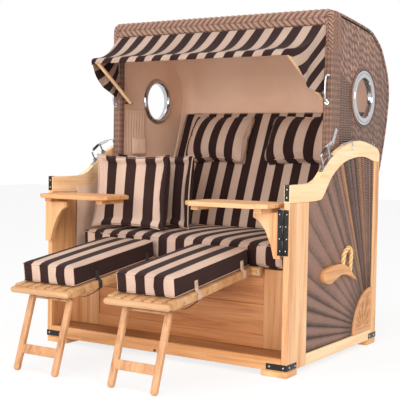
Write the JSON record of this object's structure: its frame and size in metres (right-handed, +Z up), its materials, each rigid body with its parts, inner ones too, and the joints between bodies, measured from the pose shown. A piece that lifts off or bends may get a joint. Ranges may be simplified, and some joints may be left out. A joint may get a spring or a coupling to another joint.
{
  "type": "hooded beach chair",
  "caption": "Wooden two-seat beach chair with a reclining woven hood, fold-up awning, swing-out side tables, sloping footrests and striped cushions",
  "frame": {"origin": "bottom centre of the bounding box, on the ground under the middle of the chair with its footrests out", "axes": "+Z up, +Y from the footrests towards the back of the hood, +X towards the right-hand side of the picture"},
  "size_m": [1.3246, 1.6718, 1.569],
  "materials": {
    "wood": "oiled hardwood, honey coloured, satin",
    "wicker": "woven synthetic wicker, mottled grey-brown",
    "braid": "braided wicker border",
    "striped_canvas": "woven canvas with dark brown and beige stripes",
    "polished_steel": "polished stainless steel",
    "rope": "twisted natural rope"
  },
  "bodies": {
    "base": {"front_post_left": "wood", "front_post_right": "wood", "rear_post_left": "wood", "rear_post_right": "wood", "top_rail_left": "wood", "top_rail_right": "wood", "bottom_rail_left": "wood", "bottom_rail_right": "wood", "woven_side_left": "wicker", "woven_side_right": "wicker", "sun_ornament_left": "wood", "sun_ornament_right": "wood", "grip_block_left": "wood", "grip_block_right": "wood", "rope_loop_left": "rope", "rope_loop_right": "rope", "foot_front_left": "wood", "foot_front_right": "wood", "foot_rear_left": "wood", "foot_rear_right": "wood", "toe_board": "wood", "floor_board": "wood", "front_panel": "wood", "seat_board": "wood", "seat_box_side_left": "wood", "seat_box_side_right": "wood", "rear_panel": "wood", "pivot_bolt_left": "polished_steel", "pivot_bolt_right": "polished_steel", "seat_cushion": "striped_canvas", "throw_pillow_front": "striped_canvas", "throw_pillow_rear": "striped_canvas", "table_hinge_left": "polished_steel", "table_hinge_right": "polished_steel"},
    "hood": {"hood_shell": "wicker", "hood_side_left": "wicker", "hood_side_right": "wicker", "hood_band": "braid", "round_window_left": "polished_steel", "round_window_right": "polished_steel", "hood_grip_left": "polished_steel", "hood_grip_right": "polished_steel", "backrest_board": "wood", "back_cushion": "striped_canvas", "head_pillow_left": "striped_canvas", "head_pillow_right": "striped_canvas", "awning_cloth": "striped_canvas"},
    "awning": {"awning_bow": "wood"},
    "left_table": {"table_bracket_left": "wood", "tabletop_left": "wood"},
    "right_table": {"table_bracket_right": "wood", "tabletop_right": "wood"},
    "left_footrest": {"footrest_frame_left": "wood", "footrest_cushion_left": "striped_canvas"},
    "right_footrest": {"footrest_frame_right": "wood", "footrest_cushion_right": "striped_canvas"},
    "left_legs": {"footrest_legs_left": "wood"},
    "right_legs": {"footrest_legs_right": "wood"},
    "left_latch": {"latch_bail_left": "polished_steel"},
    "right_latch": {"latch_bail_right": "polished_steel"}
  },
  "joints": [
    {"name": "hood_tilt", "type": "hinge", "parent": "base", "child": "hood", "pos_m": [0, 0.40667, 0.45], "axis": [-1, 0, 0], "range_deg": [0, 40]},
    {"name": "awning_fold", "type": "hinge", "parent": "hood", "child": "awning", "pos_m": [0, 0.21467, 1.168], "axis": [-1, 0, 0], "range_deg": [0, 37], "deforming": ["awning_cloth"]},
    {"name": "right_table_swing", "type": "hinge", "parent": "base", "child": "right_table", "pos_m": [0.6225, -0.29783, 0.6], "axis": [0, 0, 1], "range_deg": [0, 180]},
    {"name": "left_table_swing", "type": "hinge", "parent": "base", "child": "left_table", "pos_m": [-0.65, -0.29783, 0.6], "axis": [0, 0, -1], "range_deg": [0, 180]},
    {"name": "left_footrest_lift", "type": "hinge", "parent": "base", "child": "left_footrest", "pos_m": [-0.2345, -0.17833, 0.4175], "axis": [-1, 0, 0], "range_deg": [0, 8]},
    {"name": "right_footrest_lift", "type": "hinge", "parent": "base", "child": "right_footrest", "pos_m": [0.263, -0.17833, 0.4175], "axis": [-1, 0, 0], "range_deg": [0, 8]},
    {"name": "left_legs_fold", "type": "hinge", "parent": "left_footrest", "child": "left_legs", "pos_m": [-0.2345, -0.73303, 0.30107], "axis": [1, 0, 0], "range_deg": [0, 96]},
    {"name": "right_legs_fold", "type": "hinge", "parent": "right_footrest", "child": "right_legs", "pos_m": [0.263, -0.73303, 0.30107], "axis": [1, 0, 0], "range_deg": [0, 96]},
    {"name": "left_latch_swing", "type": "hinge", "parent": "base", "child": "left_latch", "pos_m": [-0.63675, 0.03902, 0.87626], "axis": [0, -0.8402, -0.5423], "range_deg": [0, 60]},
    {"name": "right_latch_swing", "type": "hinge", "parent": "base", "child": "right_latch", "pos_m": [0.63675, 0.03902, 0.87626], "axis": [0, 0.8402, 0.5423], "range_deg": [0, 60]}
  ],
  "couplings": [
    {"joint": "left_legs_fold", "follows": "left_footrest_lift", "ratio": 12},
    {"joint": "right_legs_fold", "follows": "right_footrest_lift", "ratio": 12}
  ]
}
